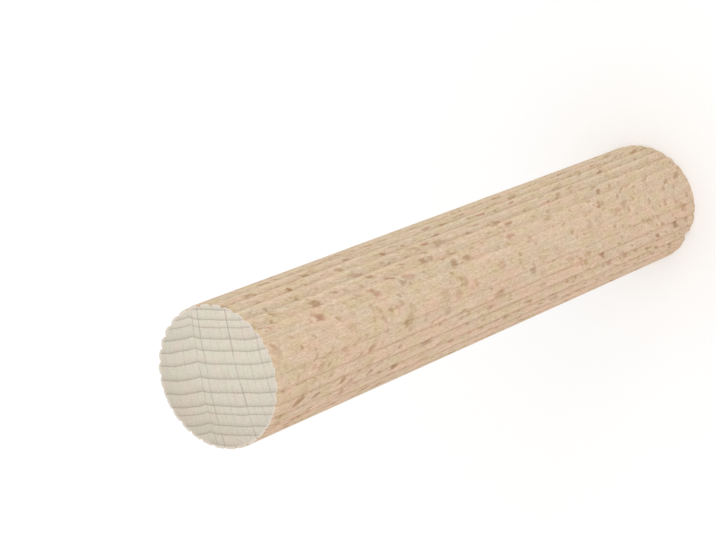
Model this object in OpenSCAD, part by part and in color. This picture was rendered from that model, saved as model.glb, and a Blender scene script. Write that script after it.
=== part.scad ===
// Fluted beech dowel rod, standing on one of its sawn ends.
// The rod is one piece: a straight round stick with flutes rolled along its whole length
// and both ends sawn off square. Its axis is the Z axis and the floor is at z = 0.
// All sizes are in millimetres.

/* [Rod] */
// Diameter over the crests of the ridges
rod_d = 20; // [14:0.5:40]
// Length between the two sawn ends
rod_l = 117.5; // [30:0.5:300]

/* [Flutes] */
// Number of flutes around the rod
flute_count = 32; // [16:1:40]
// Depth of a flute, from the crests down to its floor
flute_depth = 0.45; // [0.2:0.05:0.7]
// Width of the land that keeps the full diameter on each crest
crest_w = 0.7; // [0.2:0.05:1.2]
// Width of the floor of a flute
floor_w = 0.1; // [0.05:0.05:0.5]

/* [Hidden] */

// Radii of the crests and of the flute floors
crest_r = rod_d / 2;
floor_r = crest_r - flute_depth;

// Angle from one flute to the next, and the half angles that a crest and a ridge's foot take
pitch_a = 360 / flute_count;
crest_half_a = crest_w / 2 / crest_r * 180 / PI;
foot_half_a = pitch_a / 2 - floor_w / 2 / floor_r * 180 / PI;

// A ridge is round-backed. Its circle is centred on the ridge's middle line and runs through
// the edge of the crest land and the edge of the flute floor.
ridge_c = (crest_r ^ 2 - floor_r ^ 2)
    / (2 * (crest_r * cos(crest_half_a) - floor_r * cos(foot_half_a)));
ridge_r = norm([
    crest_r * cos(crest_half_a) - ridge_c,
    crest_r * sin(crest_half_a)
]);

// Sides drawn on the large circles and on a ridge's small one
rod_fn = 360;
ridge_fn = 72;

// The round backs of all the ridges, evenly spaced from the one that faces +X
module ridge_backs() {
    for (i = [0 : flute_count - 1])
        rotate(i * pitch_a)
            translate([ridge_c, 0])
                circle(r = ridge_r, $fn = ridge_fn);
}

// Cross section: the ridges stand on the core and are trimmed to the full diameter
module rod_section() {
    intersection() {
        circle(r = crest_r, $fn = rod_fn);
        union() {
            circle(r = floor_r, $fn = rod_fn);
            ridge_backs();
        }
    }
}

// The rod itself: the section from one saw cut to the other
module fluted_rod() {
    color("burlywood")
        linear_extrude(height = rod_l)
            rod_section();
}

fluted_rod();
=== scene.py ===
"""A fluted beech dowel rod, standing on one of its sawn ends.

The rod is turned beech with flutes rolled along its whole length, sawn off square at both
ends. Its surface is one closed grid, and its figure is a solid pattern: growth rings round a
pith that lies outside the rod, and rays that fan out from that pith. The same pattern shows
as rings and rays on the sawn ends, as short dashes where the surface lies along the rings,
and as broad flecks where it cuts across them.
"""

import math

import bpy
import numpy as np
from bpy.props import FloatProperty, FloatVectorProperty, IntProperty, PointerProperty
from mathutils import Matrix, Vector


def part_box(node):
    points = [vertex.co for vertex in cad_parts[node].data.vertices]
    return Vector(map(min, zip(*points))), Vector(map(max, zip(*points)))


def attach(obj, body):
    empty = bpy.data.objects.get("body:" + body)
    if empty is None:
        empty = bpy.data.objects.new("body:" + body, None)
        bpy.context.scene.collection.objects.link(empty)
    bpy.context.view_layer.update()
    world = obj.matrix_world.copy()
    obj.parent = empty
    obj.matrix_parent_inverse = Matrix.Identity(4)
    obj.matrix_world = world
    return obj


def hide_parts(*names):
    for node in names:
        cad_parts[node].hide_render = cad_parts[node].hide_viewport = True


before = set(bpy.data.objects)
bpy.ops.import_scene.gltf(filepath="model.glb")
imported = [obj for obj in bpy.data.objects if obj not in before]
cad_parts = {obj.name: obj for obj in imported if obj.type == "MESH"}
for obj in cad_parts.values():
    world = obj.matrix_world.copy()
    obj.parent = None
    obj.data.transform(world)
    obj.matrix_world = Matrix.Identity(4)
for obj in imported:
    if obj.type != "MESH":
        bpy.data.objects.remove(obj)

bl_info = {
    "name": "Fluted dowel rod",
    "version": (1, 0, 0),
    "blender": (4, 5, 0),
    "location": "3D View > Sidebar > Dowel rod",
    "description": "Builds a fluted beech dowel rod and the small studio that it stands in",
    "category": "Add Mesh",
}

NODE = "fluted_rod"
BODY = "root"
MM = 0.001

# The rod's box at rest, from the frame
ROD_LOW, ROD_HIGH = (Vector(corner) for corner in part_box(NODE))


def linear(code):
    """An sRGB hex colour such as "d5bfa6" as linear red, green and blue."""
    srgb = np.array([int(code[i : i + 2], 16) for i in (0, 2, 4)]) / 255
    return tuple(np.where(srgb <= 0.04045, srgb / 12.92, ((srgb + 0.055) / 1.055) ** 2.4))


# ---------------------------------------------------------------------------
# Properties
# ---------------------------------------------------------------------------


class RodSizes(bpy.types.PropertyGroup):
    """Sizes of the rod and of its flutes."""

    diameter: FloatProperty(
        name="Diameter",
        description="Diameter over the crests of the ridges",
        default=ROD_HIGH.x - ROD_LOW.x,
        min=0.004,
        unit="LENGTH",
    )
    length: FloatProperty(
        name="Length",
        description="Length between the two sawn ends",
        default=ROD_HIGH.z - ROD_LOW.z,
        min=0.01,
        unit="LENGTH",
    )
    flutes: IntProperty(
        name="Flutes", description="Number of flutes around the rod", default=32, min=8
    )
    depth: FloatProperty(
        name="Flute depth",
        description="Depth of a flute below the crests",
        default=0.45 * MM,
        min=0.0,
        unit="LENGTH",
    )
    crest: FloatProperty(
        name="Crest width",
        description="Width of the land on each crest",
        default=0.7 * MM,
        min=0.0,
        unit="LENGTH",
    )
    floor: FloatProperty(
        name="Flute floor",
        description="Width of the floor of a flute",
        default=0.1 * MM,
        min=0.0,
        unit="LENGTH",
    )


class RodWear(bpy.types.PropertyGroup):
    """How far the rod strays from its true form."""

    rolling: FloatProperty(
        name="Rolling",
        description="How unevenly the flutes are rolled, as a share of their depth",
        default=0.12,
        min=0.0,
        max=0.5,
        subtype="FACTOR",
    )
    lean: FloatProperty(
        name="Lean",
        description="Share of their depth that the flutes lack where they are shallowest",
        default=0.5,
        min=0.0,
        max=1.0,
        subtype="FACTOR",
    )
    deepest: FloatProperty(
        name="Deepest",
        description="Direction in which the flutes are deepest, opposite the shallowest ones",
        default=math.radians(-16.5),
        subtype="ANGLE",
    )
    seam: FloatProperty(
        name="Seam",
        description="How far the flutes fade where the two rolls parted",
        default=0.82,
        min=0.0,
        max=1.0,
        subtype="FACTOR",
    )
    seam_azimuth: FloatProperty(
        name="Seam azimuth",
        description="Direction of one of the two seams, which are half a turn apart",
        default=math.radians(205.5),
        subtype="ANGLE",
    )
    breakout: FloatProperty(
        name="Breakout",
        description="Length of ridge that the saw tore away as it left the cut",
        default=0.4 * MM,
        min=0.0,
        unit="LENGTH",
    )
    chip: FloatProperty(
        name="Chip",
        description="How deep the lower end is chipped in one flute, between two dented ridges",
        default=0.64 * MM,
        min=0.0,
        unit="LENGTH",
    )
    seed: IntProperty(name="Seed", description="Seed of everything uneven", default=7)


class BeechColours(bpy.types.PropertyGroup):
    """Colours of the wood and of the floor."""

    side: FloatVectorProperty(
        name="Side",
        description="Early wood on the turned side",
        default=linear("d8c4a9"),
        subtype="COLOR",
        min=0.0,
        max=1.0,
    )
    side_warm: FloatVectorProperty(
        name="Side, warm",
        description="The pinker streaks of the turned side",
        default=linear("e3c1a6"),
        subtype="COLOR",
        min=0.0,
        max=1.0,
    )
    side_yellow: FloatVectorProperty(
        name="Side, yellow",
        description="The yellower streaks of the turned side",
        default=linear("d6c19a"),
        subtype="COLOR",
        min=0.0,
        max=1.0,
    )
    side_late: FloatVectorProperty(
        name="Side, late wood",
        description="Late wood on the turned side",
        default=linear("c9ab88"),
        subtype="COLOR",
        min=0.0,
        max=1.0,
    )
    fleck: FloatVectorProperty(
        name="Ray fleck",
        description="Rays where they are cut on the turned side",
        default=linear("a8835d"),
        subtype="COLOR",
        min=0.0,
        max=1.0,
    )
    fleck_red: FloatVectorProperty(
        name="Ray fleck, red",
        description="The redder of the rays on the turned side",
        default=linear("b57f66"),
        subtype="COLOR",
        min=0.0,
        max=1.0,
    )
    end: FloatVectorProperty(
        name="Sawn end",
        description="Early wood on a sawn end",
        default=linear("e0dcca"),
        subtype="COLOR",
        min=0.0,
        max=1.0,
    )
    end_warm: FloatVectorProperty(
        name="Sawn end, warm",
        description="The pinker patches of a sawn end",
        default=linear("e6d9ca"),
        subtype="COLOR",
        min=0.0,
        max=1.0,
    )
    end_late: FloatVectorProperty(
        name="Sawn end, late wood",
        description="The line at the end of each ring on a sawn end",
        default=linear("a89d8f"),
        subtype="COLOR",
        min=0.0,
        max=1.0,
    )
    end_ray: FloatVectorProperty(
        name="Sawn end, ray",
        description="Rays on a sawn end",
        default=linear("a59b92"),
        subtype="COLOR",
        min=0.0,
        max=1.0,
    )
    end_edge: FloatVectorProperty(
        name="Sawn end, edge",
        description="The burr along the rim of a sawn end",
        default=linear("eee2d4"),
        subtype="COLOR",
        min=0.0,
        max=1.0,
    )
    floor: FloatVectorProperty(
        name="Floor",
        description="The white card that the rod stands on",
        default=linear("f4f4f4"),
        subtype="COLOR",
        min=0.0,
        max=1.0,
    )


class Studio(bpy.types.PropertyGroup):
    """The camera and the light."""

    lens: FloatProperty(
        name="Lens",
        description="Focal length, in millimetres on a 36 mm sensor",
        default=130.72,
        min=10.0,
        subtype="NONE",
    )
    aim: FloatVectorProperty(
        name="Aim",
        description="Point that the camera looks at",
        default=(2.690 * MM, -5.983 * MM, 80.405 * MM),
        subtype="TRANSLATION",
    )
    distance: FloatProperty(
        name="Distance",
        description="Distance from that point to the camera",
        default=374.825 * MM,
        unit="LENGTH",
    )
    azimuth: FloatProperty(
        name="Azimuth",
        description="Turn of the camera round the rod, 0 looking along +Y",
        default=math.radians(-65.79),
        subtype="ANGLE",
    )
    elevation: FloatProperty(
        name="Elevation",
        description="Height of the camera above the horizon",
        default=math.radians(52.654),
        subtype="ANGLE",
    )
    roll: FloatProperty(
        name="Roll",
        description="Turn of the camera about its own line of sight",
        default=math.radians(-110.967),
        subtype="ANGLE",
    )
    sky: FloatProperty(
        name="Sky",
        description="Strength of the even light from all round",
        default=0.9,
        min=0.0,
    )
    lamp: FloatProperty(
        name="Lamp",
        description="Power of the soft box",
        default=1.4,
        min=0.0,
        unit="POWER",
    )


SETTINGS = {
    "rod_sizes": RodSizes,
    "rod_wear": RodWear,
    "beech_colours": BeechColours,
    "rod_studio": Studio,
}


# ---------------------------------------------------------------------------
# Form of the rod
# ---------------------------------------------------------------------------

# Rows and columns of the grid
COLUMNS_PER_FLUTE = 18
SIDE_ROWS = 90
RIM_ROWS = 12
CAP_ROWS = 10
# How far the columns crowd towards the floor of a flute, where the surface turns sharply
CROWDING = 0.6
# Length of the worked stretch at each end that the rim rows cover
RIM_LENGTH = 1.6 * MM
# Width of the broken arris between a sawn end and the side
ARRIS = 0.03 * MM
# Half width of the bell curve by which the flutes fade at a seam, on the side of the harder
# roll and on that of the lighter one
HARD_FADE = math.radians(18)
LIGHT_FADE = math.radians(17)
# How far each roll set its flutes off towards the seam, and how much more they are squeezed
# close to it, at most and at what distance
ROLL_OFFSET = math.radians(1.25)
SQUEEZE = math.radians(1.5)
SQUEEZE_WIDTH = math.radians(13)
# How much narrower a groove is under the lighter roll: a power of the full profile
LIGHT_POWER = 2.2
# How far a flute sways sideways as it runs
SWAY = 0.06 * MM
# Where the lower end is chipped in a flute, half the chip's width, both in degrees, how far
# up it reaches, and the power by which it fades on the way
CHIP_AT = 151.3
CHIP_WIDTH = 4.9
CHIP_HEIGHT = 1.8 * MM
CHIP_FADE = 0.7
# Round the chip the ridge tips are dented, over this half width in degrees and by this share
# of its depth
KNOCK_WIDTH = 12.5
KNOCK_SHARE = 0.33
# Where the saw left the cut at the upper end and at the lower one, and how wide that side is,
# in degrees
EXIT_SIDES = ((-166, 46), (-92, 65))
# Share of the flute depth to which the ridges are torn elsewhere, at most
TORN_LEAST = 0.1


def flute_profile(angle, sizes):
    """Radius of the rod at each angle from the middle line of a ridge.

    A ridge is the arc of a circle through the edge of its crest land and the edge of the
    flute floor. Its centre lies on the ridge's middle line, and the radius there is
    c cos a + sqrt(rho^2 - c^2 sin^2 a), kept between the floor's radius and the crest's.
    """
    crest_r = sizes.diameter / 2
    floor_r = crest_r - sizes.depth
    half_crest = sizes.crest / 2 / crest_r
    half_foot = math.pi / sizes.flutes - sizes.floor / 2 / floor_r
    centre = (crest_r**2 - floor_r**2) / (
        2 * (crest_r * math.cos(half_crest) - floor_r * math.cos(half_foot))
    )
    rho2 = crest_r**2 + centre**2 - 2 * crest_r * centre * math.cos(half_crest)
    root = np.sqrt(np.maximum(rho2 - (centre * np.sin(angle)) ** 2, 0))
    return np.clip(centre * np.cos(angle) + root, floor_r, crest_r)


def smooth_noise(rng, values, wavelength, waves=5):
    """A smooth random curve of values, about -1 to 1: a sum of sines with random phases.

    values may have any shape. The phases follow its first axis, so each row wanders by itself.
    """
    total = np.zeros(values.shape)
    for k in range(waves):
        phase = rng.uniform(0, 2 * np.pi, (values.shape[0], 1))
        length = wavelength * rng.uniform(0.6, 1.7)
        total += np.sin(2 * np.pi * values / length + phase)
    return total / math.sqrt(waves)


def rod_columns(sizes):
    """Angles of the grid's columns, and each one's angle from its ridge's middle line.

    Within a pitch the columns crowd towards the two flutes: u runs evenly from -1 to 1 and
    the angle is u + (CROWDING / pi) sin(pi u) half pitches.
    """
    half_pitch = math.pi / sizes.flutes
    u = np.linspace(-1, 1, COLUMNS_PER_FLUTE, endpoint=False)
    local = half_pitch * (u + CROWDING / math.pi * np.sin(math.pi * u))
    ridges = np.arange(sizes.flutes) * 2 * half_pitch
    return (ridges[:, None] + local[None, :]).ravel(), np.tile(local, sizes.flutes)


def rod_rows(sizes):
    """Heights of the rows on the side, from the upper end to the lower one.

    Rows crowd towards the ends: there the distance to the end grows with the square of the
    row's number.
    """
    rim = RIM_LENGTH * (np.arange(1, RIM_ROWS + 1) / RIM_ROWS) ** 2
    rim = np.concatenate([[ARRIS], rim[rim > 2 * ARRIS]])
    middle = np.linspace(RIM_LENGTH, sizes.length - RIM_LENGTH, SIDE_ROWS)[1:-1]
    return np.concatenate([sizes.length - rim, middle[::-1], rim[::-1]])


def each_flute(rng, height, sizes, wavelength, spread):
    """Noise along the rod with a run of its own for each flute, one row per flute."""
    along = np.tile(height, (sizes.flutes, 1))
    steady = rng.normal(0, spread, (sizes.flutes, 1))
    return steady + spread * smooth_noise(rng, along, wavelength)


def under_rolls(angle, wear):
    """Each angle's turn from the nearer seam, and how much of the lighter roll it lies under.

    The turn runs from minus to plus a quarter turn. The share of the lighter roll goes
    smoothly from 0 on one side of the two seams to 1 on the other.
    """
    turn = angle - wear.seam_azimuth
    light = 0.5 - 0.5 * np.tanh(np.sin(turn) / 0.25)
    return (turn + math.pi / 2) % math.pi - math.pi / 2, light


def rolled_depth(angle, local, height, sizes, wear, rng):
    """Depth of the surface below the crests, on the grid, as the two rolls left it.

    The rod was rolled between two fluted rolls and leant towards one of them, so the depth
    falls by a cosine from its deepest side to the opposite one. Under the harder roll the
    section is the full flute profile. Under the lighter one it is a power of that profile,
    so that the lands are wide and the grooves narrow. At the two seams, where the rolls
    parted, the flutes fade by a bell curve.
    """
    crest_r = sizes.diameter / 2
    from_seam, light = under_rolls(angle, wear)
    width = HARD_FADE + (LIGHT_FADE - HARD_FADE) * light
    fade = 1 - wear.seam * np.exp(-((from_seam / width) ** 2))
    profile = (crest_r - flute_profile(local, sizes)) / sizes.depth
    profile = profile ** (1 + light * (LIGHT_POWER - 1))
    share = fade * (1 - wear.lean * (1 - np.cos(angle - wear.deepest)) / 2)
    # A flute's own run of depths holds from the crest before it to the crest after it
    pressed = each_flute(rng, height, sizes, 14 * MM, 0.6)
    pressed = np.repeat(pressed, COLUMNS_PER_FLUTE, axis=0)
    pressed = np.roll(pressed, COLUMNS_PER_FLUTE // 2, axis=0)
    share = share * np.clip(1 + wear.rolling * pressed.T, 0.3, 1)
    return sizes.depth * profile * share


def rolled_angle(angle, local, height, sizes, wear, rng):
    """Angle of each grid point: the flutes sway as they run and are squeezed at the seams.

    The sway is that of the two flutes beside a ridge, mixed in proportion across it. The
    squeeze grows with the distance from the seam up to its width and then dies away. Each
    roll's own offset holds over its side and turns over at the seams.
    """
    sway = SWAY * each_flute(rng, height, sizes, 30 * MM, 0.5) / (sizes.diameter / 2)
    part = (local * sizes.flutes / math.pi + 1) / 2
    here = np.repeat(sway, COLUMNS_PER_FLUTE, axis=0).T
    after = np.repeat(np.roll(sway, -1, axis=0), COLUMNS_PER_FLUTE, axis=0).T
    from_seam, _ = under_rolls(angle, wear)
    apart = from_seam / SQUEEZE_WIDTH
    squeeze = SQUEEZE * apart * np.exp((1 - apart**2) / 2)
    side = np.sin(2 * from_seam)
    offset = ROLL_OFFSET * side / np.sqrt(side**2 + 0.1)
    return angle - squeeze - offset + here + (after - here) * part


def painted_ridge_light(angle, local, sizes, wear):
    """Painted highlight and shade across each ridge, from -1 to 1, standing in for the light and
    shade on its flanks.

    The tone is a pale bell and a dull one. The pale bell lies in the middle of a ridge midway
    between the seams, and nearer a seam it moves to the side of the ridge that is turned away
    from that seam. The dull bell lies on the other side and grows towards the seams. Both are
    weaker under the lighter roll, and they fade at the seams and midway between them.
    """
    from_seam, light = under_rolls(angle, wear)
    across = -np.sign(from_seam) * local * sizes.flutes / math.pi
    strength = np.abs(np.sin(2 * from_seam)) * (1 - 0.4 * light)
    leaning = np.cos(from_seam) ** 2
    pale = np.exp(-(((across + 0.56 * leaning) / (0.25 + 0.15 * light)) ** 2))
    dull = leaning * np.exp(-(((across - 0.45) / 0.3) ** 2))
    return strength * (pale - 1.15 * dull)


def degrees_from(middle, angle):
    """How far each angle lies from a direction in degrees, between -180 and 180 degrees."""
    return (np.degrees(angle) - middle + 180) % 360 - 180


def torn_share(angle, height, sizes, wear, rng):
    """Share of the flute depth to which the ridges are broken away near the two sawn ends.

    It is largest on the side where the saw left the cut, and ragged from ridge to ridge.
    """
    torn = np.zeros((len(height), len(angle)))
    turn = np.degrees(angle)
    for end, (side, width) in zip((sizes.length, 0.0), EXIT_SIDES):
        distance = np.abs(height - end)[:, None]
        exit_side = np.exp(-((degrees_from(side, angle) / width) ** 4))
        ragged = np.clip(0.5 + 0.5 * smooth_noise(rng, turn[None, :], 9.0)[0], 0, 1)
        share = TORN_LEAST * ragged + exit_side * (0.25 + 0.35 * ragged)
        reach = wear.breakout * (0.5 + ragged) * (0.35 + exit_side)
        torn = np.maximum(torn, share * np.clip(1 - distance / reach, 0, 1) ** 0.8)
    return torn


def chip_depth(angle, height, wear):
    """Depth of the chip at the lower end, and of the dented ridge tips round it, on the grid.

    With u the angle from its middle the chip is exp(-(u / width)^6), and the tips are dented
    by a share of exp(-(u / their width)^8). The deeper one counts, and it fades with the
    height as (1 - height / reach)^fade.
    """
    off = degrees_from(CHIP_AT, angle)
    chip = np.exp(-((off / CHIP_WIDTH) ** 6))
    knock = KNOCK_SHARE * np.exp(-((off / KNOCK_WIDTH) ** 8))
    fade = np.clip(1 - height / CHIP_HEIGHT, 0, 1) ** CHIP_FADE
    return wear.chip * np.maximum(chip, knock) * fade[:, None]


def rod_surface(sizes, wear):
    """Points of the rod's side as radius, angle and height on a grid, their depth, and the tone
    of the painted highlight and shade across the ridges.

    The radius is the crest's less the rolled depth, or less what has broken out of the
    ridges near each end or been chipped at the lower end, where that is deeper. The depth is
    given as a share of the flute depth.
    """
    rng = np.random.default_rng(wear.seed)
    angle, local = rod_columns(sizes)
    height = rod_rows(sizes)
    depth = rolled_depth(angle, local, height, sizes, wear, rng)
    groove = depth / sizes.depth
    depth = depth + torn_share(angle, height, sizes, wear, rng) * (sizes.depth - depth)
    radius = sizes.diameter / 2 - np.maximum(depth, chip_depth(angle, height, wear))
    # Painted highlight and shade across each ridge, the same all along the rod
    tone = np.tile(painted_ridge_light(angle, local, sizes, wear), (len(height), 1))
    return radius, rolled_angle(angle, local, height, sizes, wear, rng), height, groove, tone


def cap_rings(rim_radius, count):
    """Radii of the rings on a sawn end, from next to its middle out to the rim.

    Each ring is the rim's own outline scaled by a share that eases out towards 1.
    """
    share = np.sin(np.arange(1, count + 1) / count * math.pi / 2) ** 0.9
    return share[:, None] * rim_radius[None, :]


def make_rod(sizes, wear):
    """The rod as one closed mesh: a grid from the middle of one end to that of the other.

    Column by column the grid runs out over the upper end, down the side and in over the
    lower end. The two middles are single points, joined to their rings by triangles.
    """
    radius, angle, height, groove, tone = rod_surface(sizes, wear)
    columns = radius.shape[1]
    top = cap_rings(radius[0] - ARRIS, CAP_ROWS)
    low = cap_rings(radius[-1] - ARRIS, CAP_ROWS)[::-1]
    all_radius = np.concatenate([top, radius, low])
    all_angle = np.concatenate(
        [np.repeat(angle[:1], CAP_ROWS, 0), angle, np.repeat(angle[-1:], CAP_ROWS, 0)]
    )
    all_height = np.concatenate([np.full(CAP_ROWS, sizes.length), height, np.zeros(CAP_ROWS)])
    rows = len(all_height)
    points = np.empty((rows * columns + 2, 3))
    points[1:-1, 0] = (all_radius * np.cos(all_angle)).ravel()
    points[1:-1, 1] = (all_radius * np.sin(all_angle)).ravel()
    points[1:-1, 2] = np.repeat(all_height, columns)
    points[0] = (0, 0, sizes.length)
    points[-1] = (0, 0, 0)

    here = np.arange(columns)
    after = (here + 1) % columns
    start = 1 + np.arange(rows - 1)[:, None] * columns
    quads = np.stack(
        [start + here, start + columns + here, start + columns + after, start + after], axis=-1
    ).reshape(-1, 4)
    last = 1 + (rows - 1) * columns
    upper = np.stack([np.zeros(columns, int), 1 + here, 1 + after], axis=-1)
    lower = np.stack([np.full(columns, len(points) - 1), last + after, last + here], axis=-1)
    faces = upper.tolist() + quads.tolist() + lower.tolist()

    mesh = bpy.data.meshes.new("fluted_dowel_rod")
    mesh.from_pydata(points, [], faces)
    mesh.update()
    # The faces of the sawn ends take the second material
    cap = columns * CAP_ROWS
    which = np.zeros(len(faces), dtype=np.int32)
    which[:cap] = 1
    which[-cap:] = 1
    mesh.polygons.foreach_set("material_index", which)
    side = slice(1 + CAP_ROWS * columns, 1 + (CAP_ROWS + len(height)) * columns)
    # The flute depth, which the material turns mostly into painted shade, and the painted
    # highlight and shade of the ridges pass to the material as point attributes
    for name, grid in (("groove", groove), ("tone", tone)):
        values = np.zeros(len(points), dtype=np.float32)
        values[side] = grid.ravel()
        mesh.attributes.new(name, "FLOAT", "POINT").data.foreach_set("value", values)
    mesh.shade_smooth()
    mesh.set_sharp_from_angle(angle=math.radians(40))
    return mesh


# ---------------------------------------------------------------------------
# Beech
# ---------------------------------------------------------------------------

# Distance from the rod's axis to the pith of the tree, and the direction it lies in
PITH_DISTANCE = 90.0
PITH_AZIMUTH = math.radians(-77.525)
# Ring widths in mm across the rod, from the side towards the pith outwards, and the distance
# from the rod's axis at which the first ring starts
RING_START = -11.8
RING_WIDTHS = (
    1.4, 1.3, 1.35, 1.05, 1.6, 1.6, 1.85, 2.05, 1.9, 1.85, 1.1, 1.6, 1.25, 1.5, 1.4, 1.5
)
# How far, in mm, the rings bend away from true circles at each place across them, in mm
RING_BEND = (
    (-12, 0.1),
    (-7, 0.05),
    (-4, -0.28),
    (-3, -0.5),
    (-2, -0.2),
    (0, 0.0),
    (2, 0.2),
    (4, 0.37),
    (6, 0.67),
    (8, 0.8),
    (12, 0.8),
)
# Broad rays that are cut by the upper end: place across the rings and half width, in mm,
# and how dark each is
END_RAYS = (
    (-8.0, 0.06, 0.25),
    (-6.4, 0.06, 0.3),
    (-4.7, 0.07, 0.3),
    (-3.4, 0.06, 0.3),
    (-2.3, 0.08, 0.6),
    (-1.15, 0.08, 0.75),
    (0.4, 0.06, 0.25),
    (1.5, 0.06, 0.3),
    (2.6, 0.06, 0.35),
    (4.05, 0.09, 0.9),
    (5.2, 0.06, 0.3),
    (6.5, 0.07, 0.45),
    (7.6, 0.06, 0.3),
    (8.7, 0.08, 0.6),
)
# How far the rays of the sawn end bow sideways at its middle, in mm, and the distance from
# the middle at which they do not
RAY_BOW = 0.5
RAY_BOW_REACH = 9.0
# The grain bows sideways by this much, in mm, half way along the rod
GRAIN_BOW = 7.0
# How dark the wood is through one ring, from its inner edge at 0 to its outer edge at 1
RING_SHADE = ((0, 0.35), (0.05, 0), (0.5, 0.04), (0.75, 0.22), (0.88, 0.5), (0.95, 1), (1, 0.75))
# Mean spacing and half widths of the broad rays and of the fine ones, in mm, each as (across
# the rays, out from the pith, along the grain)
BROAD_SPACING = (1.1, 2.4, 4.6)
BROAD_HALF = (0.24, 1.25, 1.55)
FINE_SPACING = (0.7, 1.4, 2.1)
FINE_HALF = (0.13, 0.7, 0.75)
# Distances from the rod's axis between which the paler edge of a sawn end sets in
EDGE_START = 9.45 * MM
EDGE_FULL = 9.8 * MM


def add(tree, kind, links=None, **settings):
    """Adds a shader node, sets its settings, and sets or links its inputs."""
    node = tree.nodes.new("ShaderNode" + kind)
    for name, value in settings.items():
        setattr(node, name, value)
    for name, value in (links or {}).items():
        if isinstance(value, bpy.types.NodeSocket):
            tree.links.new(value, node.inputs[name])
        else:
            node.inputs[name].default_value = value
    return node


def set_curve(node, points, low, high, bottom, top):
    """Draws a Float Curve through points, as straight runs, within the given limits."""
    curve = node.mapping.curves[0]
    scaled = [((x - low) / (high - low), (y - bottom) / (top - bottom)) for x, y in points]
    while len(curve.points) < len(scaled):
        curve.points.new(0.5, 0.5)
    for point, place in zip(curve.points, scaled):
        point.location = place
        point.handle_type = "VECTOR"
    node.mapping.update()


def ray_cells(tree, place, pitch, size, seed):
    """One population of rays: flat ellipsoids scattered through the wood.

    place, pitch and size are in mm as (across the rays, out from the pith, along the grain).
    pitch is the mean spacing and size the half widths of a ray. Voronoi cells give each ray
    its middle, its own size and its own darkness. Returns how much a place is within a ray,
    from 0 to 1, and the ray's own tone.
    """
    shift = (seed * 3.7, seed * 5.3, seed * 1.9)
    place = add(tree, "Mapping", {0: place, 1: shift, 3: [1 / step for step in pitch]}).outputs[0]
    cells = add(tree, "TexVoronoi", {"Vector": place, "Scale": 1.0, "Randomness": 1.0}).outputs
    off = add(tree, "VectorMath", {0: place, 1: cells["Position"]}, operation="SUBTRACT")
    stretch = [step / half for step, half in zip(pitch, size)]
    off = add(tree, "VectorMath", {0: off.outputs[0], 1: stretch}, operation="MULTIPLY")
    own = add(tree, "SeparateColor", {0: cells["Color"]}).outputs
    grow = add(tree, "MapRange", {0: own[0], 3: 1.6, 4: 0.85}).outputs[0]
    off = add(tree, "VectorMath", {0: off.outputs[0], 3: grow}, operation="SCALE")
    off = add(tree, "VectorMath", {0: off.outputs[0]}, operation="LENGTH").outputs["Value"]
    inside = add(
        tree, "MapRange", {0: off, 1: 1.2, 2: 0.5}, interpolation_type="SMOOTHSTEP"
    ).outputs[0]
    dark = add(tree, "MapRange", {0: own[1], 3: 0.4, 4: 1.0}).outputs[0]
    return add(tree, "Math", {0: inside, 1: dark}, operation="MULTIPLY").outputs[0], own[2]


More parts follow.
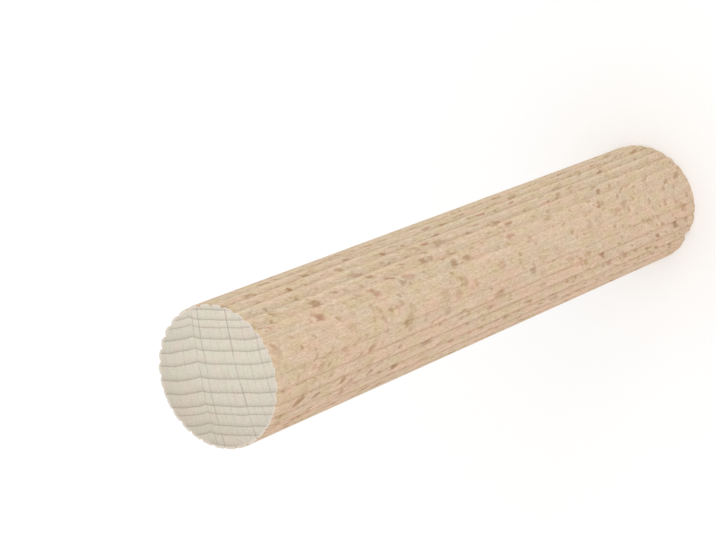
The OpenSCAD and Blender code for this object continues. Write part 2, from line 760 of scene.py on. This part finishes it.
def beech_figure(length):
    """The solid pattern of the wood as a node group that both finishes of beech share.

    In mm, round the pith: the ring distance is the distance to the pith less that of the
    rod's axis, and the place across is the angle round the pith times the same distance.
    """
    tree = bpy.data.node_groups.new("Beech figure", "ShaderNodeTree")
    for name, kind in (
        ("Late wood", "NodeSocketFloat"),
        ("Ring tone", "NodeSocketFloat"),
        ("Broad rays", "NodeSocketFloat"),
        ("Ray tone", "NodeSocketFloat"),
        ("Fine rays", "NodeSocketFloat"),
        ("End rays", "NodeSocketFloat"),
        ("Grain", "NodeSocketVector"),
    ):
        tree.interface.new_socket(name, in_out="OUTPUT", socket_type=kind)

    # Millimetres, with the pith on the Z axis and the rod's axis at PITH_DISTANCE along X
    turn = -(PITH_AZIMUTH + math.pi)
    place = add(tree, "TexCoord").outputs["Object"]
    shift = (PITH_DISTANCE, 0, 0)
    place = add(
        tree, "Mapping", {0: place, 1: shift, 2: (0, 0, turn), 3: (1 / MM,) * 3}
    ).outputs[0]

    # Slow unevenness of the grain, a few tenths of a millimetre
    coarse = add(tree, "Mapping", {0: place, 3: (1, 1, 0.25)}).outputs[0]
    uneven = add(tree, "TexNoise", {"Vector": coarse, "Scale": 0.22, "Detail": 2.0}).outputs[1]
    uneven = add(tree, "VectorMath", {0: uneven, 1: (0.5,) * 3}, operation="SUBTRACT").outputs[0]
    uneven = {0: uneven, 1: (0.5, 0.6, 0), 2: place}
    place = add(tree, "VectorMath", uneven, operation="MULTIPLY_ADD").outputs[0]

    axes = add(tree, "SeparateXYZ", {0: place})
    flat = add(tree, "VectorMath", {0: place, 1: (1, 1, 0)}, operation="MULTIPLY").outputs[0]
    reach = add(tree, "VectorMath", {0: flat}, operation="LENGTH").outputs["Value"]
    ring_at = add(tree, "Math", {0: reach, 1: PITH_DISTANCE}, operation="SUBTRACT").outputs[0]
    angle = add(tree, "Math", {0: axes.outputs[1], 1: axes.outputs[0]}, operation="ARCTAN2")
    across = add(tree, "Math", {0: angle.outputs[0], 1: PITH_DISTANCE}, operation="MULTIPLY")
    across = across.outputs[0]

    # The grain bows sideways between the ends: a half wave of a sine
    along = axes.outputs[2]
    wave = add(tree, "Math", {0: along, 1: math.pi * MM / length}, operation="MULTIPLY")
    wave = add(tree, "Math", {0: wave.outputs[0]}, operation="SINE")
    bow = {0: wave.outputs[0], 1: -GRAIN_BOW, 2: across}
    grain_across = add(tree, "Math", bow, operation="MULTIPLY_ADD").outputs[0]

    # Rings: bend them, count them along the distance, and take the phase within each
    low, high = RING_BEND[0][0], RING_BEND[-1][0]
    spread = add(tree, "MapRange", {0: grain_across, 1: low, 2: high}).outputs[0]
    bend = add(tree, "FloatCurve", {1: spread})
    set_curve(bend, RING_BEND, low, high, -1.0, 1.0)
    bend = add(tree, "MapRange", {0: bend.outputs[0], 3: -1.0, 4: 1.0}).outputs[0]
    bent = add(tree, "Math", {0: ring_at, 1: bend}, operation="SUBTRACT").outputs[0]
    starts = RING_START + np.concatenate([[0], np.cumsum(RING_WIDTHS)])
    spread = add(tree, "MapRange", {0: bent, 1: starts[0], 2: starts[-1]}).outputs[0]
    count = add(tree, "FloatCurve", {1: spread})
    numbers = list(zip(starts, range(len(starts))))
    set_curve(count, numbers, starts[0], starts[-1], 0, len(RING_WIDTHS))
    count = add(tree, "Math", {0: count.outputs[0], 1: len(RING_WIDTHS)}, operation="MULTIPLY")
    phase = add(tree, "Math", {0: count.outputs[0]}, operation="FRACT").outputs[0]
    number = add(tree, "Math", {0: count.outputs[0]}, operation="FLOOR").outputs[0]
    late = add(tree, "FloatCurve", {1: phase})
    set_curve(late, RING_SHADE, 0, 1, 0, 1)
    tone = add(tree, "TexWhiteNoise", {"W": number}, noise_dimensions="1D").outputs["Value"]

    # Rays, through the whole wood. The broad ones are ragged by about a tenth of a millimetre.
    grain = add(tree, "CombineXYZ", {0: grain_across, 1: ring_at, 2: along}).outputs[0]
    ragged = add(tree, "Mapping", {0: grain, 3: (1, 1, 0.6)}).outputs[0]
    ragged = add(tree, "TexNoise", {"Vector": ragged, "Scale": 1.5, "Detail": 1.0}).outputs[1]
    ragged = add(tree, "VectorMath", {0: ragged, 1: (0.5,) * 3}, operation="SUBTRACT").outputs[0]
    ragged = add(
        tree, "VectorMath", {0: ragged, 1: (0.45, 0.8, 1.2), 2: grain}, operation="MULTIPLY_ADD"
    ).outputs[0]
    broad, ray_tone = ray_cells(tree, ragged, BROAD_SPACING, BROAD_HALF, 1)
    fine, _ = ray_cells(tree, grain, FINE_SPACING, FINE_HALF, 3)
    # Where the surface runs along the rays, their broad faces show only faintly
    flank = add(tree, "Math", {0: across}, operation="ABSOLUTE").outputs[0]
    faint = add(tree, "MapRange", {0: flank, 1: 9.3, 2: 10.0, 3: 1.0, 4: 0.45}).outputs[0]
    broad = add(tree, "Math", {0: broad, 1: faint}, operation="MULTIPLY").outputs[0]

    # The rays that the upper end cuts: straight lines that bow a little in the middle
    bowed = add(tree, "Math", {0: ring_at, 1: 1 / RAY_BOW_REACH}, operation="MULTIPLY").outputs[0]
    bowed = add(tree, "Math", {0: bowed, 1: bowed}, operation="MULTIPLY").outputs[0]
    bowed = add(tree, "MapRange", {0: bowed, 3: RAY_BOW, 4: 0.0}).outputs[0]
    bowed = add(tree, "Math", {0: across, 1: bowed}, operation="ADD").outputs[0]
    marks = 0.0
    for middle, half, dark in END_RAYS:
        off = add(tree, "Math", {0: bowed, 1: middle}, operation="SUBTRACT").outputs[0]
        off = add(tree, "Math", {0: off}, operation="ABSOLUTE").outputs[0]
        line = add(tree, "MapRange", {0: off, 1: half * 1.6, 2: half * 0.5, 4: dark}).outputs[0]
        marks = add(tree, "Math", {0: line, 1: marks}, operation="MAXIMUM").outputs[0]
    patchy = add(tree, "TexNoise", {"Vector": place, "Scale": 0.45, "Detail": 2.0}).outputs[0]
    patchy = add(tree, "MapRange", {0: patchy, 1: 0.38, 2: 0.6, 3: 0.3, 4: 1.0}).outputs[0]
    marks = add(tree, "Math", {0: marks, 1: patchy}, operation="MULTIPLY").outputs[0]

    out = tree.nodes.new("NodeGroupOutput")
    results = (late.outputs[0], tone, broad, ray_tone, fine, marks, grain)
    for socket, value in zip(out.inputs, results):
        tree.links.new(value, socket)
    return tree


def mix(tree, factor, first, second, blend="MIX"):
    """Mixes two colours, each a socket or a linear colour."""
    pair = [v if isinstance(v, bpy.types.NodeSocket) else (*v, 1.0) for v in (first, second)]
    node = add(
        tree, "Mix", {0: factor, 6: pair[0], 7: pair[1]}, data_type="RGBA", blend_type=blend
    )
    return node.outputs[2]


def new_material(name):
    """An empty node material and its Principled shader."""
    material = bpy.data.materials.new(name)
    material.use_nodes = True
    tree = material.node_tree
    return material, tree, tree.nodes["Principled BSDF"]


def shaded(tree, colour, factor):
    """A colour made lighter or darker by a factor."""
    factor = add(tree, "CombineColor", {0: factor, 1: factor, 2: factor}).outputs[0]
    return mix(tree, 1.0, colour, factor, "MULTIPLY")


def stained(tree, colour, amount, first, second):
    """A colour times a tint that runs from the first to the second as amount goes to 1."""
    return mix(tree, 1.0, colour, mix(tree, amount, first, second), "MULTIPLY")


def stretched_noise(tree, place, along, scale, detail):
    """Noise with scale features per mm across the grain, drawn out along it."""
    place = add(tree, "Mapping", {0: place, 3: (1, 1, along)}).outputs[0]
    links = {"Vector": place, "Scale": scale, "Detail": detail, "Roughness": 0.6}
    return add(tree, "TexNoise", links).outputs[0]


def beech_side(figure_tree, colours):
    """Beech, turned and rolled: matt, with the grain's fibres, ray flecks and faint rings."""
    material, tree, shader = new_material("Beech, turned and rolled")
    figure = add(tree, "Group", node_tree=figure_tree).outputs
    grain = figure["Grain"]
    # Pinker and yellower patches a few millimetres wide, pinker outwards from the pith
    warm = stretched_noise(tree, grain, 0.45, 0.4, 1.0)
    axes = add(tree, "SeparateXYZ", {0: grain})
    warm = add(tree, "Math", {0: axes.outputs[1], 1: 0.015, 2: warm}, operation="MULTIPLY_ADD")
    warm = add(tree, "MapRange", {0: warm.outputs[0], 1: 0.24, 2: 0.76}).outputs[0]
    colour = mix(tree, warm, tuple(colours.side), tuple(colours.side_warm))
    green = stretched_noise(tree, grain, 0.5, 0.6, 0.0)
    green = add(tree, "MapRange", {0: green, 1: 0.45, 2: 0.75, 4: 0.7}).outputs[0]
    colour = mix(tree, green, colour, tuple(colours.side_yellow))
    late = add(tree, "Math", {0: figure["Late wood"], 1: 0.3}, operation="MULTIPLY").outputs[0]
    colour = mix(tree, late, colour, tuple(colours.side_late))
    # Streaks about 0.45 mm wide and 9 mm long, and fibres half as wide and 0.8 mm long. The
    # darker ones are browner.
    streak = stretched_noise(tree, grain, 0.05, 2.2, 3.0)
    amount = add(tree, "MapRange", {0: streak, 1: 0.3, 2: 0.7}).outputs[0]
    colour = stained(tree, colour, amount, (0.93, 0.91, 0.89), (1.06, 1.08, 1.095))
    fibre = stretched_noise(tree, grain, 0.26, 4.8, 3.0)
    amount = add(tree, "MapRange", {0: fibre, 1: 0.3, 2: 0.7}).outputs[0]
    colour = stained(tree, colour, amount, (0.862, 0.822, 0.787), (1.128, 1.168, 1.202))
    # Rays, browner or redder from one to the next
    red = add(tree, "MapRange", {0: figure["Ray tone"], 1: 0.5, 2: 1.0}).outputs[0]
    fleck = mix(tree, red, tuple(colours.fleck), tuple(colours.fleck_red))
    colour = stained(tree, colour, figure["Fine rays"], (1.0, 1.0, 1.0), (0.785, 0.7, 0.61))
    rays = figure["Broad rays"]
    rays = add(tree, "Math", {0: rays, 1: 0.85}, operation="MULTIPLY").outputs[0]
    colour = mix(tree, rays, colour, fleck)
    # Painted shade darkens the flutes with their depth and lightens the crests a touch; a small
    # part of it is the darker, pressed wood in the flutes
    groove = add(tree, "Attribute", attribute_name="groove").outputs["Fac"]
    shade = add(tree, "MapRange", {0: groove, 1: 0.0, 2: 0.7, 3: 1.015, 4: 0.935}).outputs[0]
    colour = shaded(tree, colour, shade)
    # Painted highlight and shade across each ridge: one flank paler, the other duller
    tone = add(tree, "Attribute", attribute_name="tone").outputs["Fac"]
    shade = add(tree, "MapRange", {0: tone, 1: -1.0, 2: 1.0, 3: 0.94, 4: 1.06}).outputs[0]
    colour = shaded(tree, colour, shade)
    tree.links.new(colour, shader.inputs["Base Color"])
    shader.inputs["Roughness"].default_value = 0.72
    shader.inputs["IOR"].default_value = 1.45
    shader.inputs["Specular IOR Level"].default_value = 0.3
    relief = add(tree, "Math", {0: rays, 1: -0.6, 2: fibre}, operation="MULTIPLY_ADD").outputs[0]
    bump = add(tree, "Bump", {"Height": relief, "Distance": 0.06 * MM, "Strength": 1.0})
    tree.links.new(bump.outputs[0], shader.inputs["Normal"])
    return material


def beech_end(figure_tree, colours):
    """Beech, sawn across the grain: paler, quite matt, with rings, rays and open pores."""
    material, tree, shader = new_material("Beech, sawn end grain")
    figure = add(tree, "Group", node_tree=figure_tree).outputs
    # Each ring has a tone of its own and ends in a grey line of late wood
    late = add(tree, "Math", {0: figure["Late wood"], 1: 0.6}, operation="MULTIPLY").outputs[0]
    blush = stretched_noise(tree, figure["Grain"], 0.5, 0.5, 1.0)
    blush = add(tree, "MapRange", {0: blush, 1: 0.24, 2: 0.76}).outputs[0]
    colour = mix(tree, blush, tuple(colours.end), tuple(colours.end_warm))
    colour = mix(tree, late, colour, tuple(colours.end_late))
    shade = add(tree, "MapRange", {0: figure["Ring tone"], 3: 0.975, 4: 1.02}).outputs[0]
    colour = shaded(tree, colour, shade)
    # Painted shade: the sawn end is darker towards one side, and warmer where it is darker
    axes = add(tree, "SeparateXYZ", {0: figure["Grain"]})
    painted_shade_side = add(tree, "Math", {0: axes.outputs[1], 1: axes.outputs[0]}, operation="SUBTRACT")
    painted_shade_side = painted_shade_side.outputs[0]
    shade = add(tree, "MapRange", {0: painted_shade_side, 1: -16.0, 2: 16.0, 3: 1.09, 4: 0.91}).outputs[0]
    colour = shaded(tree, colour, shade)
    amount = add(tree, "MapRange", {0: painted_shade_side, 1: 3.0, 2: 16.0}).outputs[0]
    colour = stained(tree, colour, amount, (1.0, 1.0, 1.0), (0.99, 0.94, 0.925))
    # Open pores, and the fuzz that the saw left
    pores = stretched_noise(tree, figure["Grain"], 0.2, 5.0, 3.0)
    pores = add(tree, "MapRange", {0: pores, 1: 0.35, 2: 0.72, 3: 0.91, 4: 1.07}).outputs[0]
    colour = shaded(tree, colour, pores)
    fine = add(tree, "Math", {0: figure["Fine rays"], 1: 0.2}, operation="MULTIPLY").outputs[0]
    rays = add(tree, "Math", {0: fine, 1: figure["End rays"]}, operation="MAXIMUM").outputs[0]
    rays = add(tree, "Math", {0: rays, 1: 0.7}, operation="MULTIPLY").outputs[0]
    colour = mix(tree, rays, colour, tuple(colours.end_ray))
    # The saw's burr leaves a paler edge a few tenths of a millimetre wide
    place = add(tree, "TexCoord").outputs["Object"]
    place = add(tree, "VectorMath", {0: place, 1: (1, 1, 0)}, operation="MULTIPLY").outputs[0]
    reach = add(tree, "VectorMath", {0: place}, operation="LENGTH").outputs["Value"]
    edge = {0: reach, 1: EDGE_START, 2: EDGE_FULL, 4: 0.65}
    edge = add(tree, "MapRange", edge, interpolation_type="SMOOTHSTEP").outputs[0]
    # The end is a little darker towards its rim
    outwards = {0: reach, 1: 5.0 * MM, 2: 9.5 * MM, 3: 1.0, 4: 0.96}
    colour = shaded(tree, colour, add(tree, "MapRange", outwards).outputs[0])
    colour = mix(tree, edge, colour, tuple(colours.end_edge))
    tree.links.new(colour, shader.inputs["Base Color"])
    shader.inputs["Roughness"].default_value = 0.85
    shader.inputs["IOR"].default_value = 1.45
    shader.inputs["Specular IOR Level"].default_value = 0.2
    bump = add(tree, "Bump", {"Height": pores, "Distance": 0.03 * MM})
    tree.links.new(bump.outputs[0], shader.inputs["Normal"])
    return material


# ---------------------------------------------------------------------------
# Studio
# ---------------------------------------------------------------------------

# Half the side of the floor, in metres
FLOOR_HALF = 3.0
# What the camera sees of the floor beyond the light it gives back, so that it looks white
FLOOR_LIFT = 0.18
# The soft box: direction towards it, and its distance and width in metres
LAMP_TOWARDS = (-0.52, -0.73, 0.42)
LAMP_DISTANCE = 1.0
LAMP_WIDTH = 0.9


def seen_directly(tree):
    """1 where a ray comes straight from the camera, or by way of a mirror or glass."""
    path = add(tree, "LightPath").outputs
    either = add(
        tree, "Math", {0: path["Is Camera Ray"], 1: path["Is Glossy Ray"]}, operation="MAXIMUM"
    ).outputs[0]
    return add(
        tree, "Math", {0: either, 1: path["Is Transmission Ray"]}, operation="MAXIMUM"
    ).outputs[0]


def make_floor(colours):
    """A large square of matt white card at z = 0."""
    h = FLOOR_HALF
    mesh = bpy.data.meshes.new("floor")
    mesh.from_pydata([(-h, -h, 0), (h, -h, 0), (h, h, 0), (-h, h, 0)], [], [(0, 1, 2, 3)])
    material, tree, shader = new_material("White card")
    shader.inputs["Base Color"].default_value = (*colours.floor, 1)
    shader.inputs["Roughness"].default_value = 0.9
    shader.inputs["Specular IOR Level"].default_value = 0.0
    shader.inputs["Emission Color"].default_value = (1, 1, 1, 1)
    lift = add(tree, "Math", {0: seen_directly(tree), 1: FLOOR_LIFT}, operation="MULTIPLY")
    tree.links.new(lift.outputs[0], shader.inputs["Emission Strength"])
    mesh.materials.append(material)
    return bpy.data.objects.new("floor", mesh)


def make_world(strength):
    """An even sky of the given strength that the camera sees as white."""
    world = bpy.data.worlds.new("Studio sky")
    world.use_nodes = True
    tree = world.node_tree
    lift = add(
        tree,
        "Math",
        {0: seen_directly(tree), 1: 1 - strength, 2: strength},
        operation="MULTIPLY_ADD",
    ).outputs[0]
    background = tree.nodes["Background"]
    background.inputs["Color"].default_value = (1, 1, 1, 1)
    tree.links.new(lift, background.inputs["Strength"])
    return world


def make_lamp(power):
    """A wide square soft box that faces the middle of the rod."""
    light = bpy.data.lights.new("soft_box", "AREA")
    light.shape = "SQUARE"
    light.size = LAMP_WIDTH
    light.energy = power
    lamp = bpy.data.objects.new("soft_box", light)
    towards = Vector(LAMP_TOWARDS).normalized()
    lamp.location = (ROD_LOW + ROD_HIGH) / 2 + towards * LAMP_DISTANCE
    lamp.rotation_euler = (-towards).to_track_quat("-Z", "Y").to_euler()
    return lamp


def make_camera(studio):
    """The camera, turned round its aim by azimuth and elevation and about its line of sight."""
    data = bpy.data.cameras.new("camera")
    data.sensor_width = 36
    data.lens = studio.lens
    data.clip_start = 0.01
    data.clip_end = 20
    camera = bpy.data.objects.new("camera", data)
    turn = (
        Matrix.Rotation(studio.azimuth, 4, "Z")
        @ Matrix.Rotation(math.pi / 2 - studio.elevation, 4, "X")
        @ Matrix.Rotation(studio.roll, 4, "Z")
    )
    back = turn @ Vector((0, 0, studio.distance))
    camera.matrix_world = Matrix.Translation(Vector(studio.aim) + back) @ turn
    return camera


# ---------------------------------------------------------------------------
# Operators and panel
# ---------------------------------------------------------------------------


class MESH_OT_fluted_rod(bpy.types.Operator):
    """Builds the fluted beech rod in place of its plain frame node"""

    bl_idname = "mesh.fluted_rod"
    bl_label = "Fluted rod"

    def execute(self, context):
        scene = context.scene
        mesh = make_rod(scene.rod_sizes, scene.rod_wear)
        figure = beech_figure(scene.rod_sizes.length)
        mesh.materials.append(beech_side(figure, scene.beech_colours))
        mesh.materials.append(beech_end(figure, scene.beech_colours))
        rod = bpy.data.objects.new("fluted_dowel_rod", mesh)
        scene.collection.objects.link(rod)
        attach(rod, BODY)
        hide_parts(NODE)
        return {"FINISHED"}


class SCENE_OT_rod_studio(bpy.types.Operator):
    """Adds the white floor, the soft light and the camera"""

    bl_idname = "scene.rod_studio"
    bl_label = "Studio"

    def execute(self, context):
        scene = context.scene
        floor = make_floor(scene.beech_colours)
        lamp = make_lamp(scene.rod_studio.lamp)
        camera = make_camera(scene.rod_studio)
        for thing in (floor, lamp, camera):
            scene.collection.objects.link(thing)
        scene.world = make_world(scene.rod_studio.sky)
        scene.camera = camera
        scene.view_settings.view_transform = "Standard"
        return {"FINISHED"}


class VIEW3D_PT_fluted_rod(bpy.types.Panel):
    """Lists the rod's operators and their settings."""

    bl_label = "Fluted dowel rod"
    bl_space_type = "VIEW_3D"
    bl_region_type = "UI"
    bl_category = "Dowel rod"

    def draw(self, context):
        for operator in OPERATORS:
            self.layout.operator(operator.bl_idname)
        for name, group in SETTINGS.items():
            box = self.layout.box()
            box.label(text=group.__doc__)
            for prop in group.__annotations__:
                box.prop(getattr(context.scene, name), prop)


OPERATORS = (MESH_OT_fluted_rod, SCENE_OT_rod_studio)
CLASSES = (*SETTINGS.values(), *OPERATORS, VIEW3D_PT_fluted_rod)


def register():
    """Registers the classes and hangs the settings on the scene."""
    for cls in CLASSES:
        bpy.utils.register_class(cls)
    for name, group in SETTINGS.items():
        setattr(bpy.types.Scene, name, PointerProperty(type=group))


def unregister():
    """Takes the settings off the scene and unregisters the classes."""
    for name in SETTINGS:
        delattr(bpy.types.Scene, name)
    for cls in reversed(CLASSES):
        bpy.utils.unregister_class(cls)


def main():
    """Registers the add-on and runs its operators."""
    register()
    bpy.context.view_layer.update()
    bpy.ops.mesh.fluted_rod()
    bpy.ops.scene.rod_studio()


if __name__ == "__main__":
    main()
